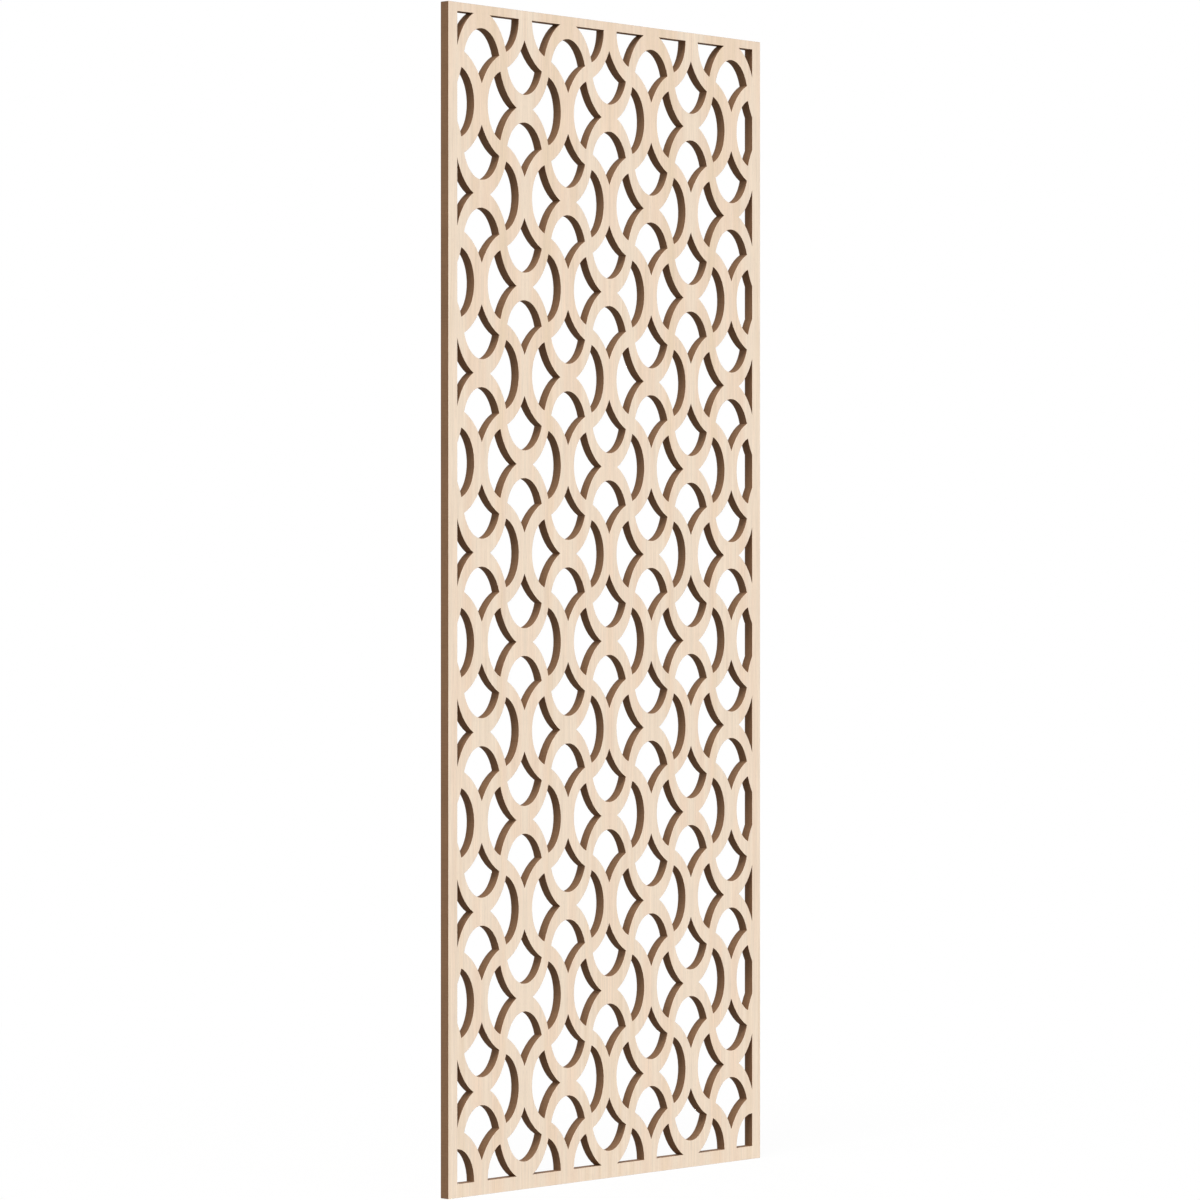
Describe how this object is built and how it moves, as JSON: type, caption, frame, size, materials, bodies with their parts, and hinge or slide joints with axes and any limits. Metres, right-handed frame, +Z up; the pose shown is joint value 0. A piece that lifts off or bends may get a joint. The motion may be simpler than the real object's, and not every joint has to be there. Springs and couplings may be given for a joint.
{
  "type": "fretwork panel",
  "caption": "Tall flat fretwork panel: a veneered fibreboard sheet pierced all over by spade-shaped openings between crossing wavy strands, inside a narrow plain border.",
  "frame": {"origin": "middle of the bottom edge, half way through the sheet's thickness", "axes": "+X to the right seen from the front, +Y from the front face to the back face, +Z up"},
  "size_m": [0.5936, 0.013, 1.4827],
  "materials": {
    "fibreboard": "sealed cut edge, matt",
    "maple_veneer": "clear satin lacquer, grain upright"
  },
  "bodies": {
    "root": {"core": "fibreboard", "front_veneer_1": "maple_veneer", "front_veneer_2": "maple_veneer", "front_veneer_3": "maple_veneer", "front_veneer_4": "maple_veneer", "back_veneer_1": "maple_veneer", "back_veneer_2": "maple_veneer", "back_veneer_3": "maple_veneer", "back_veneer_4": "maple_veneer"}
  },
  "joints": []
}
